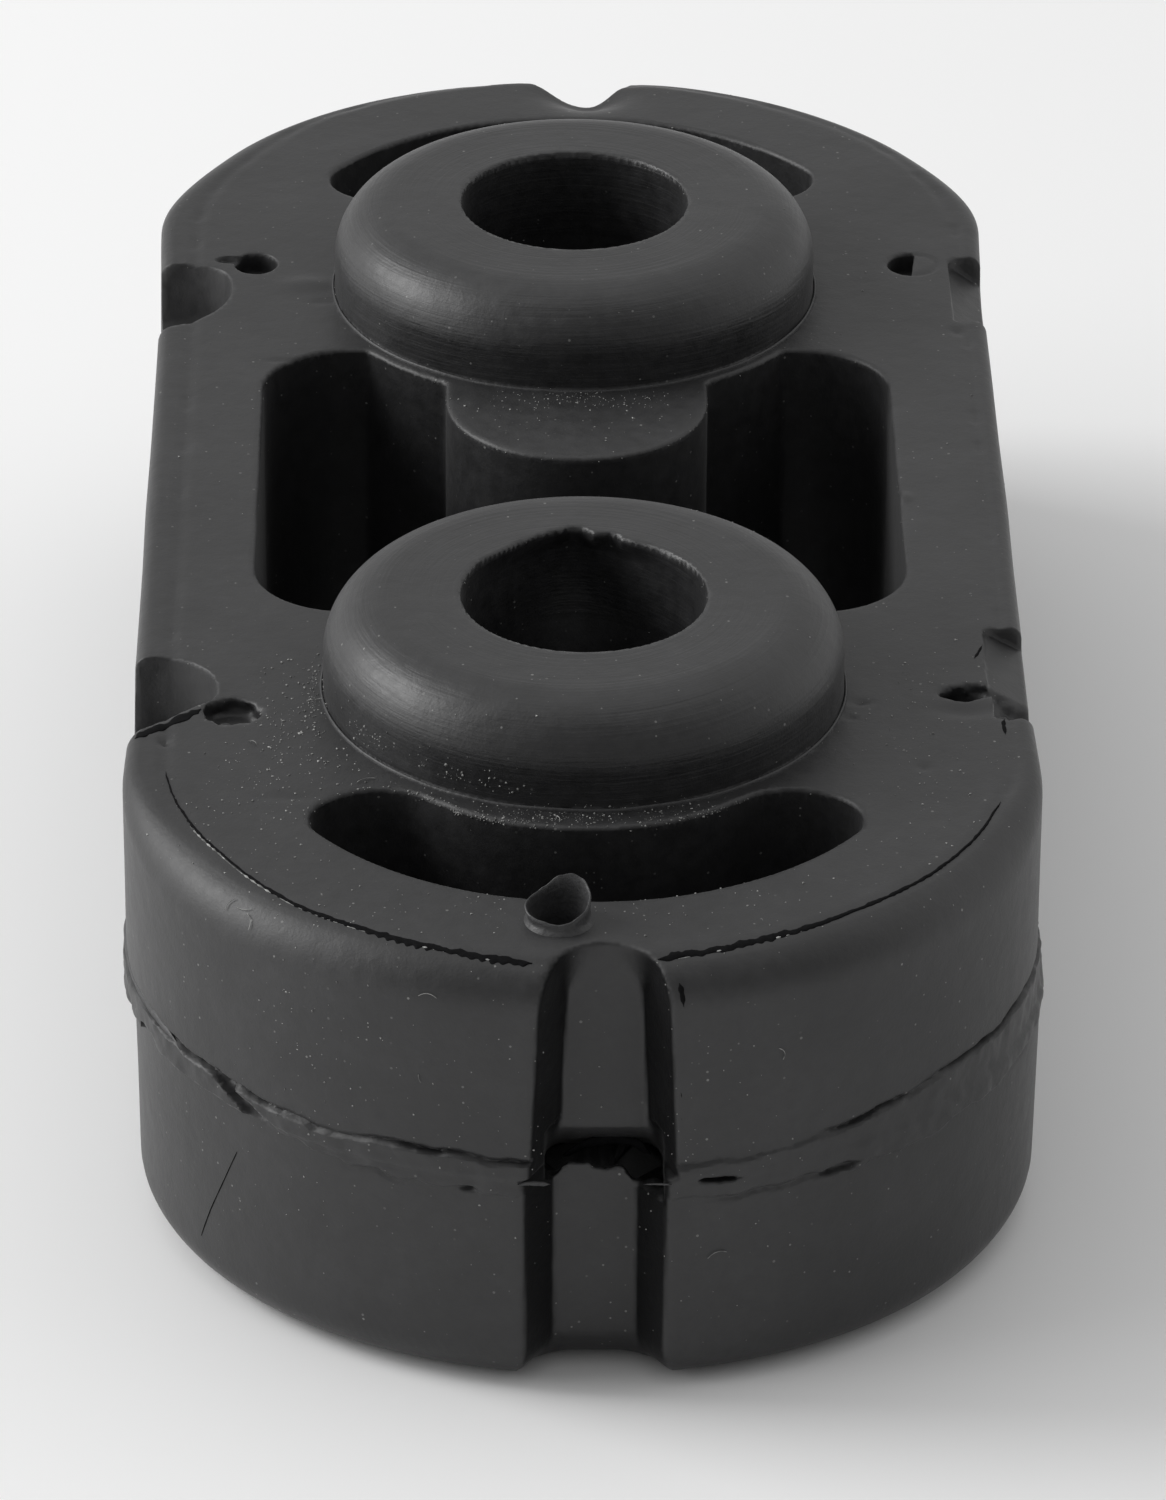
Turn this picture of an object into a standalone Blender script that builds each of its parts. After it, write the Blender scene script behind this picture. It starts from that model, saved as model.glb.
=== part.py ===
"""Exhaust hanger: one moulded rubber block with two flanged hanger-rod bosses.

Metres, +Z up. The origin is the middle of the underside. The long way lies along Y,
and the end with the torn moulding nub is at -Y.
"""
import math

import bmesh
import bpy

# Body
BODY_LENGTH = 0.0938
BODY_WIDTH = 0.0411
BODY_HEIGHT = 0.0215
END_REACH = 0.01875
TOP_EDGE_RADIUS = 0.0022
BASE_EDGE_RADIUS = 0.0028

# Moulding seam round the outer wall, where the two mould halves meet out of line
SEAM_HEIGHT = 0.0110
SEAM_BAND = 0.0013
SEAM_PROUD = 0.00025
MOULD_SHIFT = 0.0002

# Bosses that the hanger rods pass through
BORE_SPACING = 0.0416
BORE_RADIUS = 0.00555
BOSS_RADIUS = 0.0124
FLANGE_RADIUS = 0.0118
FLANGE_HEIGHT = 0.00465
FLANGE_EDGE_RADIUS = 0.0026
NOSE_WIDTH = 0.0126
NOSE_GAP = 0.0038
LOBE_RADIUS = 0.0075

# Middle opening
SIDE_WALL = 0.00545
OPENING_LENGTH = 0.0272
OPENING_CORNER_RADIUS = 0.0043

# Crescent openings
END_WALL = 0.0063
CRESCENT_GAP = 0.0057
CRESCENT_RADIUS = 0.0145
CRESCENT_TIP_RADIUS = 0.0022
CRESCENT_TIP_ANGLE = math.radians(35.4)
HEEL_RADIUS = 0.0022
HEEL_STEP_X = 0.00092
HEEL_STEP_Y = 0.00066

# Grooves down the two ends
GROOVE_OFFSET = 0.0006
UPPER_GROOVE_WIDTH = 0.0057
UPPER_GROOVE_DEPTH = 0.0027
LOWER_GROOVE_SHIFT = -0.0004
LOWER_GROOVE_WIDTH = 0.0063
LOWER_GROOVE_DEPTH = 0.0023
GROOVE_CORNER_RADIUS = 0.0013

# Scoops in the top edge beside the bosses
SCOOP_LENGTH = 0.0066
SCOOP_OFFSET = 0.0202
SCOOP_RADIUS = 0.0037
SCOOP_WIDTH = 0.00315
SCOOP_RISE = 0.0010

# Pin marks in the top face
PIT_RADIUS = 0.0010
PIT_DEPTH = 0.0013
PIT_OFFSET_X = 0.0160
PIT_OFFSET_Y = 0.0233

# Moulding nub at the -Y end
NUB_RADIUS = 0.00135
NUB_TOP_RADIUS = 0.0011
NUB_HEIGHT = 0.0015
NUB_X = -0.0013
NUB_MARGIN = 0.0045

# Working values
OVERSHOOT = 0.002
ROOT = 0.001
ROUND_STEPS = 48
EDGE_STEPS = 5
FAR_END = 1
NEAR_END = -1

BORE_Y = BORE_SPACING / 2
RUBBER = (0.018, 0.018, 0.019, 1.0)


def clear_scene():
    for item in list(bpy.data.objects):
        bpy.data.objects.remove(item, do_unlink=True)


def rubber_material():
    material = bpy.data.materials.new("moulded_rubber")
    material.use_nodes = True
    shader = material.node_tree.nodes["Principled BSDF"]
    shader.inputs["Base Color"].default_value = RUBBER
    shader.inputs["Roughness"].default_value = 0.55
    shader.inputs["Metallic"].default_value = 0.0
    return material


def add_object(name, bm):
    """Turn a closed bmesh into an object with its faces pointing out."""
    bmesh.ops.recalc_face_normals(bm, faces=bm.faces)
    mesh = bpy.data.meshes.new(name)
    bm.to_mesh(mesh)
    bm.free()
    item = bpy.data.objects.new(name, mesh)
    bpy.context.scene.collection.objects.link(item)
    return item


def as_tool(item):
    item.hide_render = True
    item.display_type = "WIRE"
    return item


def stacked_rings(name, rings):
    """Join closed rings of equal length by side faces, with a flat cap at each end."""
    bm = bmesh.new()
    loops = [[bm.verts.new(point) for point in ring] for ring in rings]
    for lower, upper in zip(loops, loops[1:]):
        count = len(lower)
        for i in range(count):
            j = (i + 1) % count
            bm.faces.new((lower[i], lower[j], upper[j], upper[i]))
    bm.faces.new(list(reversed(loops[0])))
    bm.faces.new(loops[-1])
    return add_object(name, bm)


def prism(name, outline, low, high):
    rings = [[(x, y, z) for x, y in outline] for z in (low, high)]
    return as_tool(stacked_rings(name, rings))


def turned(name, profile, x, y):
    """Turn a list of (radius, height) pairs round a vertical axis at x, y."""
    turns = [math.tau * i / ROUND_STEPS for i in range(ROUND_STEPS)]
    rings = [
        [(x + r * math.cos(a), y + r * math.sin(a), z) for a in turns]
        for r, z in profile
    ]
    return as_tool(stacked_rings(name, rings))


def arc(center_x, center_y, radius, start, end, steps):
    """Points on an arc, with the angles in radians and both ends included."""
    angles = [start + (end - start) * i / steps for i in range(steps + 1)]
    return [
        (center_x + radius * math.cos(a), center_y + radius * math.sin(a))
        for a in angles
    ]


def tangent_heading(first, second):
    """Heading of the straight line that runs from one turn into the next.

    A turn is (x, y, radius), with the radius below zero where it bends to the right.
    """
    dx = second[0] - first[0]
    dy = second[1] - first[1]
    lean = math.asin((second[2] - first[2]) / math.hypot(dx, dy))
    return math.atan2(dy, dx) - lean


def turn_points(turn, start, end, steps):
    """Points on a turn between two headings."""
    x, y, radius = turn
    quarter = math.pi / 2
    headings = [start + (end - start) * i / steps for i in range(steps + 1)]
    return [
        (x - radius * math.cos(h + quarter), y - radius * math.sin(h + quarter))
        for h in headings
    ]


def facing(end, outline):
    """Use an outline drawn for the +Y end, or turn it half round for the -Y end."""
    return [(end * x, end * y) for x, y in outline]


def body_ring(inset, z, shift):
    """Outline of the body at one height: straight sides with half-oval ends."""
    half_width = BODY_WIDTH / 2 - inset
    reach = END_REACH - inset
    straight = BODY_LENGTH / 2 - END_REACH
    unit = arc(0.0, 0.0, 1.0, 0.0, math.pi, 32)
    far = [(x * half_width, straight + y * reach) for x, y in unit]
    return [(x + shift, y, z) for x, y in far + facing(NEAR_END, far)]


def body():
    rings = []
    for i in range(EDGE_STEPS + 1):
        a = math.pi / 2 * i / EDGE_STEPS
        rings.append(body_ring(
            BASE_EDGE_RADIUS * (1 - math.sin(a)), BASE_EDGE_RADIUS * (1 - math.cos(a)),
            MOULD_SHIFT))
    seam_low = SEAM_HEIGHT - SEAM_BAND / 2
    seam_high = SEAM_HEIGHT + SEAM_BAND / 2
    rings.append(body_ring(0.0, seam_low, MOULD_SHIFT))
    rings.append(body_ring(-SEAM_PROUD, seam_low + SEAM_PROUD, 0.0))
    rings.append(body_ring(-SEAM_PROUD, seam_high - SEAM_PROUD, 0.0))
    rings.append(body_ring(0.0, seam_high, -MOULD_SHIFT))
    for i in range(EDGE_STEPS + 1):
        a = math.pi / 2 * i / EDGE_STEPS
        rings.append(body_ring(
            TOP_EDGE_RADIUS * (1 - math.cos(a)),
            BODY_HEIGHT - TOP_EDGE_RADIUS * (1 - math.sin(a)),
            -MOULD_SHIFT))
    return stacked_rings("rubber_hanger", rings)


def opening_outline():
    """Middle opening, with a boss and its nose bulging in from each end."""
    half_width = BODY_WIDTH / 2 - SIDE_WALL
    half_length = OPENING_LENGTH / 2
    nose = NOSE_WIDTH / 2
    boss_start = math.acos((BORE_Y - half_length) / BOSS_RADIUS)
    corner = min(OPENING_CORNER_RADIUS, half_width - BOSS_RADIUS * math.sin(boss_start))
    boss_end = math.asin(nose / BOSS_RADIUS)
    down = -math.pi / 2
    half = arc(half_width - corner, half_length - corner, corner, 0.0, math.pi / 2, 8)
    half += arc(0.0, BORE_Y, BOSS_RADIUS, down + boss_start, down + boss_end, 5)
    half += arc(0.0, NOSE_GAP / 2 + nose, nose, 0.0, -math.pi, 24)
    half += arc(0.0, BORE_Y, BOSS_RADIUS, down - boss_end, down - boss_start, 5)
    half += arc(
        corner - half_width, half_length - corner, corner, math.pi / 2, math.pi, 8)
    return half + facing(NEAR_END, half)


def crescent_outline():
    """Crescent between a boss and the +Y end wall, drawn as turns joined by tangents."""
    arc_y = BODY_LENGTH / 2 - END_WALL - CRESCENT_RADIUS
    tip_path = CRESCENT_RADIUS - CRESCENT_TIP_RADIUS
    tip_x = tip_path * math.cos(CRESCENT_TIP_ANGLE)
    tip_y = arc_y + tip_path * math.sin(CRESCENT_TIP_ANGLE)
    right_tip = (tip_x, tip_y, CRESCENT_TIP_RADIUS)
    left_tip = (-tip_x, tip_y, CRESCENT_TIP_RADIUS)
    right_heel = (tip_x - HEEL_STEP_X, tip_y - HEEL_STEP_Y, HEEL_RADIUS)
    left_heel = (-right_heel[0], right_heel[1], HEEL_RADIUS)
    outer = (0.0, arc_y, CRESCENT_RADIUS)
    lobe = (0.0, arc_y + CRESCENT_RADIUS - CRESCENT_GAP - LOBE_RADIUS, -LOBE_RADIUS)

    half_turn = math.pi / 2
    full_turn = math.tau
    tip_out = CRESCENT_TIP_ANGLE + half_turn
    tip_back = math.pi - CRESCENT_TIP_ANGLE + half_turn
    to_heel = tangent_heading(left_tip, left_heel) + full_turn
    to_lobe = tangent_heading(left_heel, lobe) + full_turn
    from_lobe = tangent_heading(lobe, right_heel) + full_turn
    to_tip = tangent_heading(right_heel, right_tip) + full_turn

    outline = turn_points(outer, tip_out, tip_back, 24)
    outline += turn_points(left_tip, tip_back, to_heel, 6)[1:]
    outline += turn_points(left_heel, to_heel, to_lobe, 4)
    outline += turn_points(lobe, to_lobe, from_lobe, 10)
    outline += turn_points(right_heel, from_lobe, to_tip, 4)
    outline += turn_points(right_tip, to_tip, tip_out + full_turn, 6)[:-1]
    return outline


def groove_outline(width, depth, shift):
    """Groove in the +Y end wall, open outwards, with round inner corners."""
    floor = BODY_LENGTH / 2 - depth
    mouth = BODY_LENGTH / 2 + OVERSHOOT
    corner = GROOVE_CORNER_RADIUS
    inner = width / 2 - corner
    outline = arc(-inner + shift, floor + corner, corner, math.pi, 1.5 * math.pi, 5)
    outline += arc(inner + shift, floor + corner, corner, -0.5 * math.pi, 0.0, 5)
    outline += [(width / 2 + shift, mouth), (-width / 2 + shift, mouth)]
    return outline


def groove_tools(end):
    """The two mould halves cut grooves of slightly different width and place."""
    offset = end * GROOVE_OFFSET
    upper = groove_outline(UPPER_GROOVE_WIDTH, UPPER_GROOVE_DEPTH, offset)
    lower = groove_outline(
        LOWER_GROOVE_WIDTH, LOWER_GROOVE_DEPTH, offset + end * LOWER_GROOVE_SHIFT)
    return [
        prism("upper_groove", facing(end, upper), SEAM_HEIGHT, BODY_HEIGHT + OVERSHOOT),
        prism("lower_groove", facing(end, lower), -OVERSHOOT, SEAM_HEIGHT),
    ]


def scoop_tool(side, end):
    """Round cutter lying along Y just outside the top edge."""
    y = end * SCOOP_OFFSET
    x = side * (BODY_WIDTH / 2 - SCOOP_WIDTH + math.sqrt(SCOOP_RADIUS**2 - SCOOP_RISE**2))
    z = BODY_HEIGHT + SCOOP_RISE
    circle = arc(x, z, SCOOP_RADIUS, 0.0, math.tau, 28)[:-1]
    ends = (y - SCOOP_LENGTH / 2, y + SCOOP_LENGTH / 2)
    return as_tool(stacked_rings("scoop", [[(u, v, w) for u, w in circle] for v in ends]))


def pit_tool(side, end):
    floor = BODY_HEIGHT - PIT_DEPTH
    profile = [(PIT_RADIUS, floor), (PIT_RADIUS, BODY_HEIGHT + OVERSHOOT)]
    return turned("pit", profile, side * PIT_OFFSET_X, end * PIT_OFFSET_Y)


def flange(end):
    """Flat disc over the boss with a rounded upper rim, rooted in the boss."""
    top = BODY_HEIGHT + FLANGE_HEIGHT
    rim = FLANGE_EDGE_RADIUS
    profile = [(FLANGE_RADIUS, BODY_HEIGHT - ROOT)]
    for i in range(EDGE_STEPS + 2):
        a = math.pi / 2 * i / (EDGE_STEPS + 1)
        profile.append((FLANGE_RADIUS - rim * (1 - math.cos(a)), top - rim * (1 - math.sin(a))))
    return turned("flange", profile, 0.0, end * BORE_Y)


def bore_tool(end):
    top = BODY_HEIGHT + FLANGE_HEIGHT + OVERSHOOT
    return turned("bore", [(BORE_RADIUS, -OVERSHOOT), (BORE_RADIUS, top)], 0.0, end * BORE_Y)


def nub():
    """Stump of the filling pip, left of the groove on the -Y end's top face."""
    y = NUB_MARGIN - BODY_LENGTH / 2
    profile = [
        (NUB_RADIUS, BODY_HEIGHT - ROOT),
        (NUB_RADIUS, BODY_HEIGHT),
        (NUB_TOP_RADIUS, BODY_HEIGHT + NUB_HEIGHT),
    ]
    return turned("nub", profile, NUB_X, y)


def combine(base, tool, operation):
    step = base.modifiers.new(tool.name, "BOOLEAN")
    step.operation = operation
    step.solver = "EXACT"
    step.object = tool


def build():
    clear_scene()
    hanger = body()
    hanger.data.materials.append(rubber_material())
    low = -OVERSHOOT
    high = BODY_HEIGHT + OVERSHOOT
    combine(hanger, prism("middle_opening", opening_outline(), low, high), "DIFFERENCE")
    for end in (FAR_END, NEAR_END):
        crescent = prism("crescent", facing(end, crescent_outline()), low, high)
        combine(hanger, crescent, "DIFFERENCE")
        for tool in groove_tools(end):
            combine(hanger, tool, "DIFFERENCE")
        for side in (-1, 1):
            combine(hanger, scoop_tool(side, end), "DIFFERENCE")
            combine(hanger, pit_tool(side, end), "DIFFERENCE")
        combine(hanger, flange(end), "UNION")
        combine(hanger, bore_tool(end), "DIFFERENCE")
    combine(hanger, nub(), "UNION")
    hanger.data.shade_smooth()
    hanger.data.set_sharp_from_angle(angle=math.radians(35))


build()
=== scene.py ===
"""Exhaust hanger: one moulded rubber block, seen from above its near end.

Shapes are worked out in millimetres in the CAD frame: the origin is the middle of the
underside, +Z is up, the long way lies along Y and the end with the torn nub is at -Y.
Each mesh is turned to metres when it is made.
"""
import math

import bpy
import numpy as np
from mathutils import Matrix, Vector


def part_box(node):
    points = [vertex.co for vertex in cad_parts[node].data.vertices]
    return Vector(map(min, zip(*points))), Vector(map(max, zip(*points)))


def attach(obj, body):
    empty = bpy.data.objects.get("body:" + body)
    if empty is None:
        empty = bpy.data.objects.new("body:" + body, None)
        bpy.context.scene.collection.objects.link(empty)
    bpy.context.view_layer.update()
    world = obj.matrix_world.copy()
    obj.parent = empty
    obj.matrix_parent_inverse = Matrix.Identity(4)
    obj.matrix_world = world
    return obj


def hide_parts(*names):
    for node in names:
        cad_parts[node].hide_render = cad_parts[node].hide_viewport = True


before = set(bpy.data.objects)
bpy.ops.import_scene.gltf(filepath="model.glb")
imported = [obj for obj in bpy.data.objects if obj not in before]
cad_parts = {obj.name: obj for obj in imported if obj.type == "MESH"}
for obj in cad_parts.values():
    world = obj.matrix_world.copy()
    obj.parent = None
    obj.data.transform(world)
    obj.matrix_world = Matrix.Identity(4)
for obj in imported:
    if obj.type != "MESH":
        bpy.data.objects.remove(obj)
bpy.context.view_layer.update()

MM = 0.001
NODE = "rubber_hanger"
LOW, HIGH = (np.array(corner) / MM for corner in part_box(NODE))

# Body, in millimetres
FLANGE_TOP = HIGH[2]
FLANGE_HEIGHT = 4.65
TOP = FLANGE_TOP - FLANGE_HEIGHT
SEAM_PROUD = 0.25
HALF_WIDTH = HIGH[0] - SEAM_PROUD
HALF_LENGTH = 46.9
END_REACH = 18.75
STRAIGHT = HALF_LENGTH - END_REACH
TOP_EDGE = 2.2
SIDE_EDGE = 0.7
SIDE_DRAFT = 0.024
BASE_EDGE = 2.2
SEAM_Z = 11.0
UPPER_SHIFT = -0.1
LOWER_SHIFT = 0.15
LOWER_INSET = 0.08
LOWER_DRAFT = 0.02
MOULD_EDGE = 0.22

# Torn nub of the filling pip
NUB_X = -1.3
NUB_Y = -42.4

# Bosses and flanges
BORE_Y = 20.8
BORE_RADIUS = 5.55
BOSS_RADIUS = 12.4
FLANGE_RADIUS = 11.8
FLANGE_EDGE = 2.9
NOSE_HALF = 6.3
NOSE_TIP = 1.9
LOBE_RADIUS = 7.5
LOBE_TIP = 34.9
LOBE_SLOPE = math.radians(38.2)

# Openings
OPENING_HALF_WIDTH = 15.1
OPENING_HALF_LENGTH = 13.6
OPENING_CORNER = 4.3
CRESCENT_RADIUS = 14.5
CRESCENT_Y = 26.1
CRESCENT_TIP = 2.2
WEB_SLOPE = math.radians(35.2)
WEB_X = 9.06
WEB_Y = 29.85
HEEL_RADIUS = 2.2

# End grooves
GROOVE_X = 0.68
LOWER_GROOVE_X = 0.3
GROOVE_DEPTH = 2.7
LOWER_GROOVE_DEPTH = 2.3

# Drawing the mesh: spacing of the grid's lines, its margin round the part, how near the
# surface the ragged detail is worked out, the step for gradients, and the value far away
FINE = 0.21
SEAM_STEP = 0.12
COARSE = 0.85
MARGIN = 0.9
BAND = 1.3
NUDGE = 0.04
MOST_TRIANGLES = 190000
FAR = 9.0


# Random fields

LATTICE_SIZE = 32
LATTICE = np.random.default_rng(11).uniform(-1.0, 1.0, LATTICE_SIZE**3).astype(np.float32)


def lumps(x, y, z, size, seed=0):
    """Smooth random field from -1 to 1: a random value at each corner of a lattice of
    cells size mm wide, eased in between by the cubic 3t^2 - 2t^3."""
    cells, eased = [], []
    for value, offset in ((x, 3.7), (y, 9.1), (z, 5.3)):
        scaled = value / np.float32(size) + np.float32(offset * (seed + 1))
        whole = np.floor(scaled)
        part = scaled - whole
        cells.append(whole.astype(np.int32))
        eased.append(part * part * (3.0 - 2.0 * part))
    total = 0.0
    for corner in np.ndindex(2, 2, 2):
        weight, index = 1.0, 0
        for cell, part, step in zip(cells, eased, corner):
            weight = weight * (part if step else 1.0 - part)
            index = index * LATTICE_SIZE + (cell + step) % LATTICE_SIZE
        total = total + weight * LATTICE[index]
    return total


def ragged(x, y, z, size, seed=0):
    """Two layers of lumps, for torn edges."""
    return lumps(x, y, z, size, seed) + 0.5 * lumps(x, y, z, size * 0.45, seed + 1)


def smooth(value):
    """Zero below 0, one above 1 and eased in between."""
    part = np.clip(value, 0.0, 1.0)
    return part * part * (3.0 - 2.0 * part)


def hump(value, width):
    """Bell curve of height 1."""
    return np.exp(-(value / width)**2)


# Signed distances, below zero inside the rubber

def meet(a, b, radius):
    """What is inside both, with the shared edge rounded to a radius."""
    over = np.hypot(np.maximum(radius + a, 0.0), np.maximum(radius + b, 0.0))
    return np.minimum(-radius, np.maximum(a, b)) + over


def join(a, b, radius):
    """What is inside either, with the inner corner filled to a radius."""
    under = np.hypot(np.maximum(radius - a, 0.0), np.maximum(radius - b, 0.0))
    return np.maximum(radius, np.minimum(a, b)) - under


def disc(x, y, radius):
    """Upright cylinder round the origin."""
    return np.hypot(x, y) - radius


def half_plane(x, y, at_x, at_y, normal_x, normal_y):
    """What lies behind an upright plane, by a point on it and the way it faces."""
    return (x - at_x) * normal_x + (y - at_y) * normal_y


def only_in(low, high, shape, x, y, z):
    """Shape's value inside a box, and FAR outside it, where it isn't worked out."""
    here = np.ones(x.shape, bool)
    for axis, start, end in zip((x, y, z), low, high):
        here &= (axis > start) & (axis < end)
    value = np.full(x.shape, FAR, np.float32)
    value[here] = shape(x[here], y[here], z[here])
    return value


def outline(x, y):
    """Body's outline: straight sides with half-oval ends, by the usual oval estimate."""
    side = np.maximum(np.abs(x), 1e-3)
    end = np.maximum(np.abs(y) - STRAIGHT, 0.0)
    near = np.hypot(side / HALF_WIDTH, end / END_REACH)
    steep = np.hypot(side / HALF_WIDTH**2, end / END_REACH**2)
    return near * (near - 1.0) / steep


# Seam on the near end's wall: its upper and lower line, as x and z
SEAM_TOP = ((-20.0, 12.5), (-16.0, 12.2), (-11.0, 11.7), (-8.0, 12.05), (-2.5, 11.8),
            (4.8, 11.6), (9.3, 11.8), (12.8, 12.2), (16.4, 12.6), (20.0, 12.8))
SEAM_BASE = ((-20.0, 10.9), (-16.5, 11.1), (-12.0, 10.6), (-7.0, 10.15), (5.0, 9.95),
             (9.6, 10.1), (11.4, 9.7), (13.7, 9.75), (20.0, 10.2))
# Places torn out of the seam: x, z, half length, half height, depth, slope down
SEAM_TEARS = (
    (-19.3, 11.2, 0.9, 0.45, 0.5, 0.0),
    (-15.1, 11.55, 1.9, 0.36, 0.5, 0.42),
    (-5.3, 10.3, 0.40, 0.16, 0.4, 0.0),
    (5.6, 10.75, 0.85, 0.13, 0.8, 0.08),
    (10.8, 10.0, 1.20, 0.22, 0.35, -0.05),
)


def seam(x, y, z):
    """Height of the moulding seam on the outer wall: a crumpled band of flash between
    two wandering lines, with a crevice over its upper edge."""
    flat = np.zeros_like(x)
    near = y < 0.0
    top_line = np.where(
        near, np.interp(x, *zip(*SEAM_TOP)), SEAM_Z + 0.8 + 0.3 * lumps(x, y, flat, 6.0, 21))
    base_line = np.where(
        near, np.interp(x, *zip(*SEAM_BASE)), SEAM_Z - 0.8 + 0.3 * lumps(x, y, flat, 5.0, 23))
    wander = ragged(x, y, flat, 1.4, 9)
    top_line = top_line + 0.13 * wander + 0.05 * lumps(x, y, flat, 0.5, 33)
    base_line = base_line + 0.20 * ragged(x, y, flat, 1.3, 12)
    band = smooth((top_line - z) / 0.12) * smooth((z - base_line) / 0.14)
    crumple = 0.13 + 0.06 * ragged(x, y, z, 0.9, 14)
    open_part = smooth(0.65 + 1.3 * lumps(x, y, flat, 4.2, 22))
    crevice = 0.34 * open_part * hump(z - top_line - 0.07, 0.10)
    lip = 0.10 * smooth(1.2 * lumps(x, y, flat, 2.7, 27)) * hump(z - base_line + 0.10, 0.12)
    return np.clip(band * crumple, -0.12, SEAM_PROUD - 0.03) - crevice - lip


def seam_tears(x, y, z):
    """Torn places: squashed balls set in the near end's wall, with ragged edges."""
    cut = np.full(x.shape, FAR, np.float32)
    rough = 0.25 * ragged(x, y, z, 0.7, 31)
    for at_x, at_z, half_length, half_height, depth, fall in SEAM_TEARS:
        share = at_x / HALF_WIDTH
        at_y = -STRAIGHT - END_REACH * math.sqrt(1.0 - share**2)
        out = np.array([at_x / HALF_WIDTH**2, (at_y + STRAIGHT) / END_REACH**2])
        out /= np.hypot(*out)
        along = (x - at_x) * -out[1] + (y - at_y) * out[0]
        deep = (x - at_x) * out[0] + (y - at_y) * out[1]
        up = z - at_z + fall * along
        reach = np.sqrt((along / half_length)**2 + (deep / depth)**2 + (up / half_height)**2)
        cut = np.minimum(cut, (reach - 1.0 + rough) * half_height)
    return cut


# Inset of the trim line by the turn round an end, from the end's middle to the side
TRIM_LEFT = ((0.0, 1.06), (0.47, 1.59), (0.73, 1.76), (1.05, 2.22), (1.3, 2.17), (1.57, 1.9))
TRIM_RIGHT = ((0.0, 1.10), (0.35, 1.66), (0.73, 1.93), (1.3, 1.80), (1.57, 1.3))


def trim_inset(turn):
    """How far inside the edge the trim line runs, by the turn from the end's middle:
    below zero to the left."""
    return np.where(
        turn < 0.0, np.interp(-turn, *zip(*TRIM_LEFT)), np.interp(turn, *zip(*TRIM_RIGHT)))


def trim_groove(x, y, z):
    """Depth of the trimmed flash's groove in the top edge, deepest round the near end."""
    end = np.maximum(np.abs(y) - STRAIGHT, 0.0)
    turn = np.arctan2((x - UPPER_SHIFT) / HALF_WIDTH, end / END_REACH)
    flat = np.zeros_like(x)
    across = -outline(x - UPPER_SHIFT, y) - trim_inset(turn)
    across = across + 0.05 * ragged(x, y, flat, 0.8, 17)
    torn = smooth((-y - 30.5) / 2.5)
    dots = smooth(2.2 * lumps(x, y, flat, 1.6, 19) - 0.2)
    depth = 0.07 + 0.05 * (1.0 - torn) * dots
    return depth * hump(across, 0.3) * smooth((z - TOP + 1.2) / 0.4)


# Bumps and dents in the top face: x, y, half width, half length, height
TOP_MARKS = (
    (-13.2, 20.9, 1.25, 0.75, 0.16), (-12.3, 18.9, 0.7, 0.3, -0.07),
    (15.4, -2.2, 0.35, 0.5, 0.10), (12.5, -22.5, 0.45, 0.25, -0.14),
    (15.1, -28.6, 0.3, 0.35, -0.12), (-14.2, 12.4, 0.8, 0.2, -0.08),
    (12.0, -24.0, 0.3, 0.2, -0.08), (-13.0, -31.3, 1.3, 0.35, -0.07),
    (17.2, -23.2, 1.2, 0.6, -0.20), (-1.3, -42.4, 1.9, 1.7, 0.12),
    (0.9, 43.9, 1.9, 1.7, -1.0), (-18.8, -26.2, 0.25, 0.3, -0.2),
    (-16.8, -21.0, 0.5, 0.9, 0.06), (18.7, 15.7, 0.3, 0.4, -0.15),
)


def block(x, y, z, rough):
    """Body without its holes. The mould halves meet at the seam, a little out of line.
    The upper half's straight sides lean in, and its edge is rounder at the ends."""
    upper = smooth((z - SEAM_Z) / 0.4 + 0.5)
    side = outline(x - LOWER_SHIFT + (LOWER_SHIFT - UPPER_SHIFT) * upper, y)
    side = side + (LOWER_INSET + LOWER_DRAFT * (SEAM_Z - z)) * (1.0 - upper)
    straight = 1.0 - smooth((np.abs(y) - 20.0) / 12.0)
    side = side + SIDE_DRAFT * (z - SEAM_Z) * upper * straight
    edge = SIDE_EDGE + (TOP_EDGE - SIDE_EDGE) * smooth((np.abs(y) - 27.0) / 10.0)
    body = meet(side, z - TOP, edge)
    if rough:
        body = body - 0.035 * lumps(x, y, z, 7.0, 2)
        ring = (np.abs(z - SEAM_Z) < 2.9) & (side > -2.0)
        body[ring] -= seam(x[ring], y[ring], z[ring])
        high = z > TOP - 1.6
        body[high] += trim_groove(x[high], y[high], z[high])
        for at_x, at_y, half_x, half_y, height in TOP_MARKS:
            away = np.hypot((x - at_x) / half_x, (y - at_y) / half_y)
            body -= height * hump(away, 1.0) * high
    reach = np.maximum(np.abs(x) - HIGH[0], np.abs(y) - HIGH[1]) + 0.01
    return np.maximum(body, reach.astype(np.float32))


def boss_outline(x, y):
    """Boss and its nose, for the +Y end."""
    boss = disc(x, y - BORE_Y, BOSS_RADIUS)
    nose_y = NOSE_TIP + NOSE_HALF
    nose = np.hypot(x, np.minimum(y - nose_y, 0.0)) - NOSE_HALF
    return join(boss, nose, 0.3)


def opening(x, y):
    """Middle opening, symmetric in both directions."""
    corner_x = np.abs(x) - OPENING_HALF_WIDTH + OPENING_CORNER
    corner_y = y - OPENING_HALF_LENGTH + OPENING_CORNER
    outside = np.hypot(np.maximum(corner_x, 0.0), np.maximum(corner_y, 0.0))
    frame_hole = outside + np.minimum(np.maximum(corner_x, corner_y), 0.0) - OPENING_CORNER
    return meet(frame_hole, -boss_outline(x, y), MOULD_EDGE)


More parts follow.
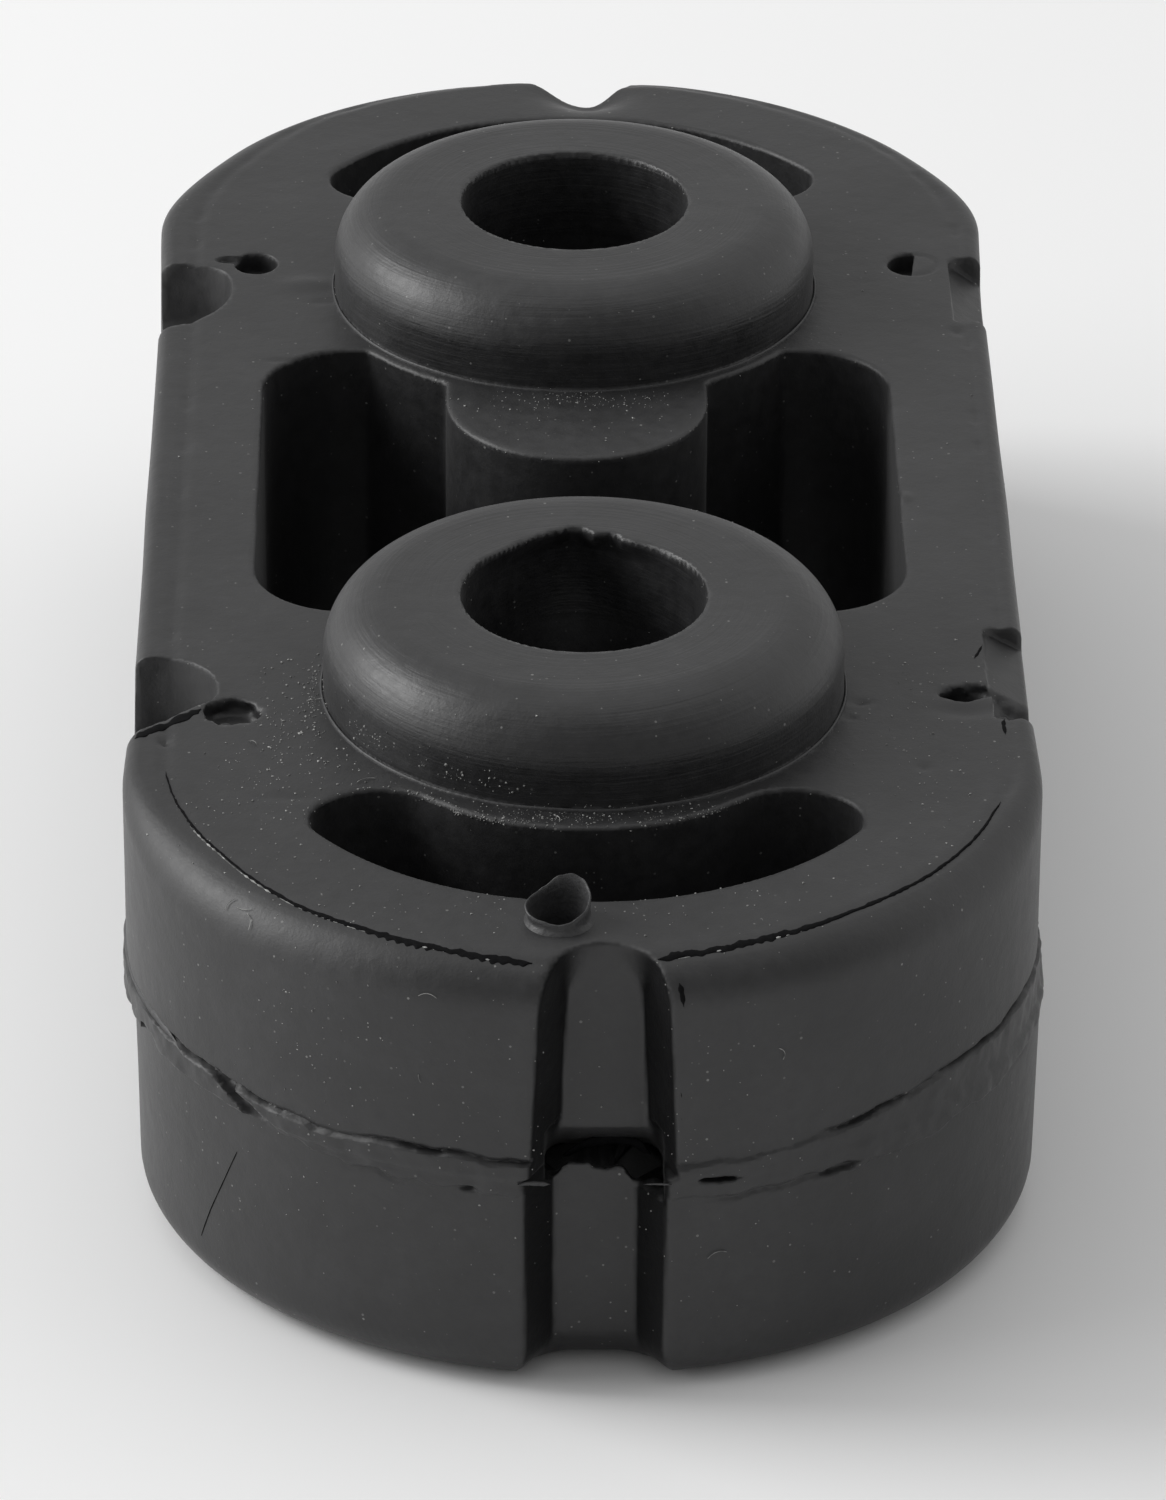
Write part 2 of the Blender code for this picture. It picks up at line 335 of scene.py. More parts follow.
def crescent(x, y):
    """Crescent of the +Y end: inside the outer arc, past both webs and the lobe."""
    side = np.abs(x)
    arc = disc(x, y - CRESCENT_Y, CRESCENT_RADIUS)
    web = -half_plane(side, y, WEB_X, WEB_Y, -math.sin(WEB_SLOPE), math.cos(WEB_SLOPE))
    start_x = LOBE_RADIUS * math.sin(LOBE_SLOPE)
    start_y = LOBE_TIP - LOBE_RADIUS * (1.0 - math.cos(LOBE_SLOPE))
    steep = (math.sin(LOBE_SLOPE), math.cos(LOBE_SLOPE))
    right = half_plane(x, y, start_x, start_y, *steep)
    left = half_plane(-x, y, start_x, start_y, *steep)
    lobe = meet(right, left, LOBE_RADIUS)
    return meet(meet(arc, web, CRESCENT_TIP), -lobe, HEEL_RADIUS)


def groove(x, y, z):
    """Groove down an end: slanting sides and a floor that widens downwards.

    The lower mould half's groove is shallower, wider at its mouth and out of line. The
    floor's corners are rounder near the top, where the groove runs out as an arch.
    """
    lower = smooth((SEAM_Z - z) / 0.3 + 0.5)
    middle = GROOVE_X + (LOWER_GROOVE_X - GROOVE_X) * lower - 0.25 * (y > 0.0)
    depth = GROOVE_DEPTH + (LOWER_GROOVE_DEPTH - GROOVE_DEPTH) * lower
    floor_half = (1.55 + 0.90 * (TOP - z) / TOP) * (1.0 - lower) + 1.80 * lower
    floor_half = floor_half + 0.25 * (y > 0.0)
    lean = 0.50 + 0.19 * lower
    inward = HALF_LENGTH - depth - np.abs(y)
    flank = (np.abs(x - middle) - floor_half + inward * lean) / np.hypot(1.0, lean)
    flank = flank + 0.03 * lumps(x, np.zeros_like(x), z, 0.8, 16)
    corner = 0.18 + 1.35 * smooth((z - TOP + 3.0) / 3.0)
    return meet(inward, flank, corner)


def groove_tear(x, y, z):
    """Torn hollow in the near groove's floor, just above the seam. Above, the floor
    curls in; below, a ragged lip stands in front, highest from the middle to the left."""
    inside = np.maximum(y + 44.4, 0.0)
    low = 10.45 - 0.85 * smooth((x - 1.2) / 1.3) - 0.3 * smooth((-x - 1.0) / 0.5)
    low = low + 0.19 * ragged(x, 0.5 * y, np.zeros_like(x), 0.5, 5) - 0.9 * inside
    curl = np.maximum(12.6 - z, 0.0)
    back = y + 44.32 - 0.6 * curl * np.sqrt(curl)
    wide = np.abs(x - GROOVE_X) - 2.6
    return np.maximum(meet(meet(wide, 0.6 * back, 0.9), 0.74 * (low - z), 0.06), z - 12.7)


def flange(x, y, z, end):
    """Turned disc on the body's top face, with a rounded upper edge."""
    rim = disc(x, y - end * BORE_Y, FLANGE_RADIUS)
    return np.maximum(meet(rim, z - FLANGE_TOP, FLANGE_EDGE), TOP - 2.0 - z)


def bore(x, y, end):
    """Round hole through a boss."""
    return disc(x, y - end * BORE_Y, BORE_RADIUS)


# How far the near bore's back edge is torn out, by x
BORE_TEAR = ((-5.2, 0.0), (-4.8, 0.25), (-4.2, 0.13), (-3.3, 0.08), (-2.7, 0.3), (-2.0, 0.52),
             (-1.1, 0.8), (-0.6, 1.03), (-0.1, 0.98), (0.2, 0.75), (0.5, 0.42), (0.8, 0.45),
             (1.05, 0.55), (1.5, 0.48), (1.75, 0.2), (2.2, 0.05), (2.6, 0.0))


def bore_tear(x, y, z):
    """Near bore's back edge, torn out to a peak left of the middle. Under the edge the
    tear reaches further in, and it fades well down the bore."""
    fringe = 0.06 * ragged(x, y, z, 0.5, 3) * smooth((4.4 - np.abs(x + 0.9)) / 2.0)
    peak = np.interp(x, *zip(*BORE_TEAR)).astype(np.float32) + fringe
    lower = smooth((FLANGE_TOP - 0.15 - z) / 1.1)
    depth = peak * (1.0 - lower) + 1.35 * hump(x + 0.6, 3.0) * lower
    depth = np.clip(depth, 0.0, 1.5) * smooth((z - FLANGE_TOP + 8.0) / 6.0) - 0.02
    return disc(x, y + BORE_Y - depth, BORE_RADIUS)


# Dents in the top edge beside the bosses: side, end, inner edge, drop there, fall
# outwards, rounding of the floor's corner and raggedness
SCOOPS = ((-1, -1, 16.6, 4.4, 0.0, 0.9, 0.12), (-1, 1, 16.9, 3.6, 0.0, 0.9, 0.05),
          (1, -1, 18.35, 0.25, 0.55, 0.1, 0.12), (1, 1, 18.2, 0.2, 0.7, 0.1, 0.05))


def scoop_window(x, y, side, end, torn):
    """Plan of one dent, below zero inside it. The near left one has a well rounded far
    corner and ends on a slant, the far left one ends in an arc and the right ones
    straight."""
    if side < 0 and end < 0:
        slant = half_plane(x, y, -17.55, -22.85, 0.677, -0.736)
        corner = meet(y + 18.15 + 0.3 * torn, x + 16.6, 3.0)
        return meet(corner, slant + torn, 0.3)
    if side < 0:
        return meet(disc(x + 21.4, y - 20.5, 4.5), y - 23.2 + torn, 1.2)
    if end < 0:
        body = meet(meet(y + 15.25, 18.35 - x + torn, 0.7), -21.4 - y, 0.3)
        low_end = meet(meet(y + 20.9 + torn, 18.5 - x + torn, 0.4), -23.9 - y + torn, 0.1)
        return np.minimum(body, low_end)
    return meet(meet(y - 24.1, 18.6 - x, 0.8), 16.9 - y + torn, 0.2)


def scoops(x, y, z):
    """Dents in the top edge: upright walls round each one's plan, and a level floor on
    the left but one that falls outwards on the right."""
    cut = np.full(x.shape, FAR, np.float32)
    torn = ragged(x, y, z, 1.0, 6)
    for side, end, start, least, fall, corner, rough in SCOOPS:
        window = scoop_window(x, y, side, end, rough * torn)
        window = np.where((side * x > 0.0) & (end * y > 0.0), window, FAR)
        drop = least + fall * (side * x - start)
        if side > 0 and end < 0:
            drop = drop + (0.5 + 0.5 * torn) * smooth((-y - 20.7) * 2.5)
        cut = np.minimum(cut, meet(window, (TOP - drop - z) / math.hypot(1.0, fall), corner))
    return cut


# Pin marks beside the dents: x, y, half width, half length, depth, raggedness
PITS = (
    (-15.75, 23.3, 1.05, 1.15, 1.3, 0.05),
    (-15.85, -23.35, 1.30, 1.20, 0.85, 0.14),
    (16.85, 23.25, 1.25, 1.25, 1.3, 0.03),
    (17.2, -21.55, 1.15, 0.75, 1.4, 0.16),
    (NUB_X, NUB_Y, 1.18, 1.18, 2.7, 0.0),
)
FILM_X = 16.85


def pits(x, y, z):
    """Pin marks: oval sinks with a rounded floor. A film covers part of the far right
    one, with a faint ring in it, and a crumb stands in the near left one."""
    cut = np.full(x.shape, FAR, np.float32)
    torn = ragged(x, y, z, 0.7, 8)
    for at_x, at_y, half_x, half_y, depth, rough in PITS:
        reach = np.hypot((x - at_x) / half_x, (y - at_y) / half_y)
        oval = (reach - 1.0) * min(half_x, half_y) + rough * torn
        sink = meet(oval, TOP - depth - z, 0.4)
        if at_x > 0.0 and at_y > 0.0:
            ring = np.hypot(oval + 0.08, z - TOP - 0.03) - 0.10
            sink = np.minimum(np.maximum(sink, x - FILM_X - 0.1 * (y - at_y)), ring)
        elif at_x < 0.0 and at_y < 0.0:
            crumb = np.hypot(np.hypot(x + 16.2, y + 23.7), z - TOP + 1.0) - 0.5
            sink = meet(sink, -(crumb + 0.1 * torn), 0.1)
        cut = np.minimum(cut, sink)
    tail = meet(np.hypot((x + 17.0) / 0.7, (y - 23.7) / 0.35) - 1.0, TOP - 0.25 - z, 0.1)
    return np.minimum(cut, 0.35 * tail)


def hanger(x, y, z, rough=True):
    """Signed distance to the whole hanger, in millimetres. The ragged detail, which is
    worked out only near the surface, moves it by less than BAND."""
    far = np.abs(y)
    solid = block(x, y, z, rough)
    grooves = np.full(x.shape, FAR, np.float32)
    ends = (far > 41.0) & (np.abs(x - GROOVE_X) < 6.0)
    grooves[ends] = groove(x[ends], y[ends], z[ends])
    solid = meet(solid, -grooves, 0.22)
    solid = meet(solid, -z, BASE_EDGE)
    solid = meet(solid, -opening(x, far), MOULD_EDGE)
    solid = meet(solid, -crescent(x, far), MOULD_EDGE)
    upper = ((-23, -46, TOP - 6.0), (23, 28, TOP + 2.0))
    solid = meet(solid, -only_in(*upper, scoops, x, y, z), 0.1)
    solid = meet(solid, -only_in(*upper, pits, x, y, z), 0.12)
    tear = only_in((-4, -50, 8.5), (5, -40, 13.5), groove_tear, x, y, z)
    solid = meet(solid, -tear, 0.08)
    if rough:
        tears = only_in((-22, -50, 9.0), (22, -30, 13.0), seam_tears, x, y, z)
        solid = meet(solid, -tears, 0.08)
    for end in (-1, 1):
        solid = join(solid, flange(x, y, z, end), 0.12)
        solid = meet(solid, -bore(x, y, end), 0.1)
    torn = only_in((-7, -20, 17), (7, -12, 30), bore_tear, x, y, z)
    return meet(solid, -torn, 0.06)


# Surface of a signed distance

def slope(field, points, step=NUDGE):
    """Gradient of a field at points, by small steps both ways."""
    x, y, z = points.astype(np.float32).T
    return np.stack([
        field(x + step, y, z) - field(x - step, y, z),
        field(x, y + step, z) - field(x, y - step, z),
        field(x, y, z + step) - field(x, y, z - step),
    ], axis=1) / (2.0 * step)


def settle(field, points, rounds=2):
    """Move points onto a field's zero surface, along its gradient."""
    gradient = slope(field, points)
    size = np.sum(gradient**2, axis=1, keepdims=True) + 1e-6
    for _ in range(rounds):
        value = field(*points.astype(np.float32).T)
        points = points - np.clip(value, -0.4, 0.4)[:, None] * gradient / size
    return points


def unit(vectors):
    """Vectors brought to length 1."""
    return vectors / (np.linalg.norm(vectors, axis=-1, keepdims=True) + 1e-9)


def field_values(field, axes):
    """Field on a grid: without its ragged detail at first, then with it near the surface."""
    grid = [part.ravel() for part in np.meshgrid(*axes, indexing="ij")]
    values = field(*grid, rough=False)
    near = np.abs(values) < BAND
    values[near] = field(*[part[near] for part in grid])
    return values.reshape([len(lines) for lines in axes])


def edge_crossings(values, gradients, axes, way):
    """Grid edges along one direction that the surface crosses: the edge's index, the
    crossing's point and normal, and whether the edge starts inside."""
    lead, trail = [slice(None)] * 3, [slice(None)] * 3
    lead[way], trail[way] = slice(None, -1), slice(1, None)
    first, second = values[tuple(lead)], values[tuple(trail)]
    index = np.argwhere((first < 0.0) != (second < 0.0))
    here = tuple(index.T)
    share = first[here] / (first[here] - second[here])
    points = np.stack([axes[k][index[:, k]] for k in range(3)], axis=1).astype(np.float64)
    points[:, way] += share * (axes[way][index[:, way] + 1] - axes[way][index[:, way]])
    normal = np.stack([
        part[tuple(lead)][here] * (1.0 - share) + part[tuple(trail)][here] * share
        for part in gradients
    ], axis=1)
    return index, points, unit(normal), first[here] < 0.0


def draw_surface(field, axes):
    """Mesh of a field's zero surface by dual contouring.

    Each grid cell that the surface passes gets one vertex, where the tangent planes at
    the cell's crossed edges meet. Each crossed edge gets one quad of its four cells.
    """
    values = field_values(field, axes)
    gradients = np.gradient(values, *axes)
    shape = tuple(np.array(values.shape) - 1)
    cells, rows, quads, starts = [], [], [], 0
    for way in range(3):
        index, points, normal, inside_first = edge_crossings(values, gradients, axes, way)
        height = np.sum(normal * points, axis=1)
        row = np.column_stack([
            normal**2, normal[:, [0, 0, 1]] * normal[:, [1, 2, 2]],
            normal * height[:, None], points, np.ones(len(points))])
        corners = []
        for back_second, back_third in ((0, 0), (1, 0), (1, 1), (0, 1)):
            cell = index.copy()
            cell[:, (way + 1) % 3] -= back_second
            cell[:, (way + 2) % 3] -= back_third
            corners.append(np.ravel_multi_index(tuple(cell.T), shape))
            rows.append(row)
        cells += corners
        quad = np.arange(starts, starts + 4 * len(points)).reshape(4, -1).T
        quads.append(np.where(inside_first[:, None], quad, quad[:, ::-1]))
        starts += 4 * len(points)
    used, place = np.unique(np.concatenate(cells), return_inverse=True)
    rows = np.concatenate(rows)
    sums = np.stack([np.bincount(place, weights=column) for column in rows.T])
    count = sums[12]
    pull = 0.04 * count
    matrix = np.empty((len(used), 3, 3))
    for k, (i, j) in enumerate(((0, 0), (1, 1), (2, 2), (0, 1), (0, 2), (1, 2))):
        matrix[:, i, j] = matrix[:, j, i] = sums[k] + (pull if i == j else 0.0)
    goal = (sums[6:9] + pull * sums[9:12] / count).T
    vertices = np.linalg.solve(matrix, goal[..., None])[..., 0]
    for k, cell in enumerate(np.unravel_index(used, shape)):
        vertices[:, k] = np.clip(vertices[:, k], axes[k][cell], axes[k][cell + 1])
    return settle(field, vertices), place[np.concatenate(quads)]


def steps(*stretches):
    """Grid lines along one axis from (start, end, spacing) stretches."""
    lines = []
    for start, end, spacing in stretches:
        count = max(1, round((end - start) / spacing))
        lines.append(np.linspace(start, end, count, endpoint=False))
    lines.append([stretches[-1][1]])
    return np.concatenate(lines).astype(np.float32)


# Meshes

def new_piece(name, vertices, faces, material):
    """Mesh object at the origin, from points in millimetres and a face array."""
    mesh = bpy.data.meshes.new(name)
    faces = np.asarray(faces)
    corners = faces.shape[1]
    mesh.vertices.add(len(vertices))
    mesh.vertices.foreach_set("co", (np.asarray(vertices) * MM).astype(np.float32).ravel())
    mesh.loops.add(faces.size)
    mesh.loops.foreach_set("vertex_index", faces.astype(np.int32).ravel())
    mesh.polygons.add(len(faces))
    mesh.polygons.foreach_set("loop_start", np.arange(0, faces.size, corners, dtype=np.int32))
    mesh.update(calc_edges=True)
    mesh.validate()
    mesh.shade_smooth()
    mesh.materials.append(material)
    piece = bpy.data.objects.new(name, mesh)
    bpy.context.scene.collection.objects.link(piece)
    return piece


def rubber_piece(name, vertices, faces, material):
    """New piece that is part of the hanger's rubber."""
    piece = new_piece(name, vertices, faces, material)
    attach(piece, "root")
    return piece


def loft(rings, around=False):
    """Skin over rings of points, as vertices and triangles.

    The rings, an array of ring, point and coordinate, are closed loops. They join up
    end to end where around is true, and otherwise each end is closed by a pole.
    """
    count, size = rings.shape[:2]
    ring, point = np.meshgrid(
        np.arange(count if around else count - 1), np.arange(size), indexing="ij")
    next_ring, next_point = (ring + 1) % count, (point + 1) % size
    a = (ring * size + point).ravel()
    b = (ring * size + next_point).ravel()
    c = (next_ring * size + next_point).ravel()
    d = (next_ring * size + point).ravel()
    faces = [np.column_stack([a, b, c]), np.column_stack([a, c, d])]
    vertices = rings.reshape(-1, 3)
    if not around:
        loop = np.arange(size)
        after = (loop + 1) % size
        first, last = count * size, count * size + 1
        start = (count - 1) * size
        faces.append(np.column_stack([after, loop, np.full(size, first)]))
        faces.append(np.column_stack([start + loop, start + after, np.full(size, last)]))
        vertices = np.vstack([vertices, rings[0].mean(axis=0), rings[-1].mean(axis=0)])
    return vertices, np.concatenate(faces)


def broad_normals(mesh):
    """Vertices of a triangle mesh and the normal at each, weighted by the area of its
    faces, so that broad flats keep an even shade next to small detail."""
    points = np.empty(len(mesh.vertices) * 3)
    mesh.vertices.foreach_get("co", points)
    points = points.reshape(-1, 3)
    mesh.calc_loop_triangles()
    faces = np.empty(len(mesh.loop_triangles) * 3, np.int32)
    mesh.loop_triangles.foreach_get("vertices", faces)
    faces = faces.reshape(-1, 3)
    a, b, c = (points[faces[:, k]] for k in range(3))
    area = np.cross(b - a, c - a) * 1e6
    return points, unit(np.stack([
        sum(np.bincount(faces[:, k], area[:, axis], len(points)) for k in range(3))
        for axis in range(3)
    ], axis=1))


def groove_flank_shade(points, normals):
    """Mask for the painted shade on the end grooves' flanks: 1 on the flanks and 0 elsewhere,
    eased in between.
    """
    across = np.abs(points[:, 0] - 0.5)
    near = smooth((np.abs(points[:, 1]) - 43.0) / 0.5) * smooth((4.4 - across) / 0.5)
    return near * smooth((np.abs(normals[:, 0]) - 0.35) / 0.4)


def merge(parts):
    """One vertex and one face array from several."""
    vertices, faces, total = [], [], 0
    for points, triangles in parts:
        vertices.append(points)
        faces.append(triangles + total)
        total += len(points)
    return np.concatenate(vertices), np.concatenate(faces)


def outward(vertices, faces):
    """Faces turned to point out: all are flipped where the signed volume is below zero."""
    a, b, c = (vertices[faces[:, k]] for k in range(3))
    volume = np.sum(a * np.cross(b, c))
    return vertices, faces if volume > 0 else faces[:, ::-1]


# Materials

def linear(hex_colour):
    """sRGB hex value to linear red, green, blue and full alpha."""
    parts = [int(hex_colour[i:i + 2], 16) / 255.0 for i in (1, 3, 5)]
    return [
        v / 12.92 if v <= 0.04045 else ((v + 0.055) / 1.055)**2.4 for v in parts
    ] + [1.0]


def add_node(tree, kind, links=None, **settings):
    """Add a node, set its properties and input values, and link its inputs.

    A setting that starts with in_ is the value of the input of that name or number.
    """
    node = tree.nodes.new(kind)
    for name, value in settings.items():
        if name.startswith("in_"):
            key = name[3:].replace("_", " ")
            node.inputs[int(key) if key.isdigit() else key].default_value = value
        else:
            setattr(node, name, value)
    for socket, source in (links or {}).items():
        tree.links.new(source, node.inputs[socket])
    return node


def start_material(name):
    """New material, with its nodes and its shader."""
    material = bpy.data.materials.new(name)
    material.use_nodes = True
    tree = material.node_tree
    return material, tree, tree.nodes["Principled BSDF"]


def millimetres(tree):
    """Object coordinates in millimetres."""
    at = add_node(tree, "ShaderNodeTexCoord").outputs["Object"]
    return add_node(
        tree, "ShaderNodeMapping", {"Vector": at}, in_Scale=(1 / MM,) * 3).outputs["Vector"]


def mottled_material(name, size, detail, rough, span, dark, light):
    """Material that runs from a dark to a light colour in lumps about size mm wide. The
    span is the part of the noise's range over which the colour changes."""
    material, tree, shader = start_material(name)
    mottle = add_node(
        tree, "ShaderNodeTexNoise", {"Vector": millimetres(tree)}, in_Scale=1.0 / size,
        in_Detail=detail, in_Roughness=rough).outputs["Fac"]
    share = add_node(
        tree, "ShaderNodeMapRange", {"Value": mottle}, in_From_Min=span[0],
        in_From_Max=span[1])
    shade = add_node(
        tree, "ShaderNodeMix", {0: share.outputs["Result"]}, data_type="RGBA",
        in_6=linear(dark), in_7=linear(light))
    tree.links.new(shade.outputs[2], shader.inputs["Base Color"])
    return material, tree, shader, mottle


def moulded_rubber():
    """EPDM rubber straight from the mould: near black and dull, with a fine grain and a
    thin grey bloom, turning marks round the flanges, and specks of dust."""
    material, tree, shader = start_material("moulded_epdm_rubber")
    shader.inputs["IOR"].default_value = 1.58
    place = millimetres(tree)

    # Noises, by the width of their lumps in millimetres: patches of bloom, a fine mottle
    # in them, the grain of the mould's steel and wider hollows under it
    patches, mottle, grain, hollows = (
        add_node(
            tree, "ShaderNodeTexNoise", {"Vector": place}, in_Scale=1.0 / size,
            in_Detail=detail, in_Roughness=rough).outputs["Fac"]
        for size, detail, rough in (
            (6.0, 4.0, 0.6), (0.7, 4.0, 0.65), (0.15, 3.0, 0.6), (1.3, 2.0, 0.5)))
    bloom = add_node(
        tree, "ShaderNodeMath", {0: patches, 1: mottle}, operation="MULTIPLY")
    shade = add_node(
        tree, "ShaderNodeMapRange", {"Value": bloom.outputs[0]},
        in_From_Min=0.12, in_From_Max=0.42, in_To_Min=0.0, in_To_Max=1.0)
    rubber = add_node(
        tree, "ShaderNodeMix", {0: shade.outputs["Result"]}, data_type="RGBA",
        in_6=linear("#171718"), in_7=linear("#29292a"))

    # Dust specks up to 0.1 mm wide, in some cells, each with its own strength
    specks = add_node(
        tree, "ShaderNodeTexVoronoi", {"Vector": place}, in_Scale=1.0 / 0.34)
    lucky = add_node(tree, "ShaderNodeSeparateColor", {"Color": specks.outputs["Color"]})
    strength = add_node(
        tree, "ShaderNodeMapRange", {"Value": lucky.outputs["Red"]},
        in_From_Min=0.78, in_From_Max=1.0, in_To_Min=0.0, in_To_Max=0.8)
    size = add_node(
        tree, "ShaderNodeMath", {0: lucky.outputs["Green"]}, operation="MULTIPLY", in_1=0.2)
    small = add_node(
        tree, "ShaderNodeMath", {0: specks.outputs["Distance"], 1: size.outputs[0]},
        operation="LESS_THAN")
    speck = add_node(
        tree, "ShaderNodeMath", {0: strength.outputs["Result"], 1: small.outputs[0]},
        operation="MULTIPLY")
    dusty = add_node(
        tree, "ShaderNodeMix", {0: speck.outputs[0], 6: rubber.outputs[2]},
        data_type="RGBA", in_7=linear("#7d7d7b"))

    # Painted shade on the grooves' flanks: a near black colour and less specular shine, where
    # the flanks face each other and little light reaches them
    flank = add_node(tree, "ShaderNodeAttribute", attribute_name="groove_flank_shade").outputs["Fac"]
    painted_flank_shade = add_node(
        tree, "ShaderNodeMix", {0: flank, 6: dusty.outputs[2]}, data_type="RGBA",
        in_7=linear("#0d0d0e"))
    tree.links.new(painted_flank_shade.outputs[2], shader.inputs["Base Color"])
    shine = add_node(
        tree, "ShaderNodeMapRange", {"Value": flank},
        in_From_Min=0.0, in_From_Max=1.0, in_To_Min=0.5, in_To_Max=0.14)
    tree.links.new(shine.outputs["Result"], shader.inputs["Specular IOR Level"])

    # A thin coat of fine dust brightens what is seen at a flat angle
    shader.inputs["Sheen Weight"].default_value = 0.09
    shader.inputs["Sheen Roughness"].default_value = 0.3

    # Flanges are polished by handling, so they are glossier than the body
    split = add_node(tree, "ShaderNodeSeparateXYZ", {"Vector": place})
    above = add_node(
        tree, "ShaderNodeMapRange", {"Value": split.outputs["Z"]},
        in_From_Min=TOP + 0.1, in_From_Max=TOP + 0.4, in_To_Min=0.0, in_To_Max=1.0)
    gloss = add_node(
        tree, "ShaderNodeMapRange", {"Value": above.outputs["Result"]},
        in_From_Min=0.0, in_From_Max=1.0, in_To_Min=0.43, in_To_Max=0.37)
    dull = add_node(
        tree, "ShaderNodeMath", {0: mottle, 2: gloss.outputs["Result"]},
        operation="MULTIPLY_ADD", in_1=0.18)
    tree.links.new(dull.outputs[0], shader.inputs["Roughness"])

    # Turning marks: noise that runs round each bore, above the top face only
    along = add_node(
        tree, "ShaderNodeMath", {0: split.outputs["Y"]}, operation="ABSOLUTE")
    offset = add_node(
        tree, "ShaderNodeMath", {0: along.outputs[0]}, operation="SUBTRACT", in_1=BORE_Y)
    flat = add_node(
        tree, "ShaderNodeCombineXYZ", {"X": split.outputs["X"], "Y": offset.outputs[0]})
    reach = add_node(
        tree, "ShaderNodeVectorMath", {0: flat.outputs[0]}, operation="LENGTH")
    turned = add_node(
        tree, "ShaderNodeCombineXYZ", {"X": reach.outputs["Value"], "Y": split.outputs["Z"]})
    wander = add_node(
        tree, "ShaderNodeVectorMath", {0: flat.outputs[0]}, operation="SCALE", in_Scale=0.05)
    ringed = add_node(
        tree, "ShaderNodeVectorMath", {0: turned.outputs[0], 1: wander.outputs[0]},
        operation="ADD")
    streaks = add_node(
        tree, "ShaderNodeTexNoise", {"Vector": ringed.outputs[0]}, in_Scale=1.0 / 0.22,
        in_Detail=2.0, in_Roughness=0.6)
    cut_marks = add_node(
        tree, "ShaderNodeMath", {0: streaks.outputs["Fac"], 1: above.outputs["Result"]},
        operation="MULTIPLY")

    # Relief too fine for the mesh, laid one over the other: height, strength, depth in metres
    under = {}
    for height, strength, deep in (
            (grain, 0.3, 0.00004), (hollows, 0.4, 0.0001),
            (cut_marks.outputs[0], 0.5, 0.00005)):
        bump = add_node(
            tree, "ShaderNodeBump", {"Height": height, **under}, in_Strength=strength,
            in_Distance=deep)
        under = {"Normal": bump.outputs[0]}
    tree.links.new(under["Normal"], shader.inputs["Normal"])
    return material


def torn_rubber():
    """EPDM rubber where it tore as it left the mould: rougher, and greyer at the edges."""
    material, tree, shader, mottle = mottled_material(
        "torn_epdm_rubber", 0.3, 3.0, 0.6, (0.0, 1.0), "#1f1f20", "#454546")
    shader.inputs["IOR"].default_value = 1.5
    shader.inputs["Roughness"].default_value = 0.5
    bump = add_node(
        tree, "ShaderNodeBump", {"Height": mottle}, in_Strength=0.5, in_Distance=0.00008)
    tree.links.new(bump.outputs[0], shader.inputs["Normal"])
    return material


def crack_shade_rubber():
    """Painted shade for cracks and the hollow's film: EPDM rubber darker and dull, as where
    little light comes.
    """
    material, _, shader, _ = mottled_material(
        "crack_shade_epdm_rubber", 0.25, 2.0, 0.6, (0.0, 1.0), "#09090a", "#1a1a1b")
    shader.inputs["Roughness"].default_value = 0.85
    shader.inputs["Specular IOR Level"].default_value = 0.06
    return material


def dust():
    """Dust, lint and crumbs of rubber: chalky, from grey to nearly white."""
    material, _, shader, _ = mottled_material(
        "chalky_dust", 0.4, 1.0, 0.5, (0.35, 0.65), "#5c5c5b", "#a9a9a7")
    shader.inputs["Roughness"].default_value = 0.8
    return material


def floor_paint():
    """White sheet of paper under the object: matt and even."""
    material, _, shader = start_material("white_backdrop_paper")
    shader.inputs["Base Color"].default_value = linear("#f4f4f4")
    shader.inputs["Roughness"].default_value = 0.9
    return material


# Pieces

def hanger_piece():
    """Hanger's rubber, drawn on a grid whose levels are closest at the seam and the top
    edge. Its flats are thinned out, and its shading follows the faces' areas."""
    axes = [
        steps((LOW[0] - MARGIN, HIGH[0] + MARGIN, FINE)),
        steps((LOW[1] - MARGIN, HIGH[1] + MARGIN, FINE)),
        steps((-MARGIN, 3.2, 0.45), (3.2, 9.3, COARSE), (9.3, 13.2, SEAM_STEP),
              (13.2, 17.2, COARSE), (17.2, 20.2, 0.3), (20.2, TOP + 0.5, 0.16),
              (TOP + 0.5, FLANGE_TOP + MARGIN, 0.3)),
    ]
    vertices, faces = draw_surface(hanger, axes)
    vertices = np.clip(vertices, LOW, HIGH)
    piece = rubber_piece("hanger_rubber", vertices, faces, moulded_rubber())
    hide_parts(NODE)
    thin = piece.modifiers.new("thin_flats", "DECIMATE")
    thin.ratio = min(1.0, MOST_TRIANGLES / (2.0 * len(faces)))
    graph = bpy.context.evaluated_depsgraph_get()
    mesh = bpy.data.meshes.new_from_object(piece.evaluated_get(graph))
    piece.modifiers.clear()
    piece.data = mesh
    mesh.name = piece.name
    mesh.shade_smooth()
    points, normals = broad_normals(mesh)
    mesh.normals_split_custom_set_from_vertices(normals.tolist())
    # Mask of the grooves' flanks, where the material paints shade
    flank = mesh.attributes.new("groove_flank_shade", "FLOAT", "POINT")
    flank.data.foreach_set("value", groove_flank_shade(points / MM, normals).astype(np.float32))
    print("hanger_rubber", len(faces), "quads drawn,", len(mesh.polygons), "faces kept")


UP = np.array([[0.0, 0.0, 1.0]])


def run_length(points):
    """Distance run along a row of points, up to each of them."""
    return np.concatenate([[0.0], np.cumsum(np.linalg.norm(np.diff(points, axis=0), axis=1))])


def along_lumps(run, size, seed):
    """Lumps by the distance run along a line."""
    return lumps(run, 0.0 * run, 0.0 * run, size, seed)


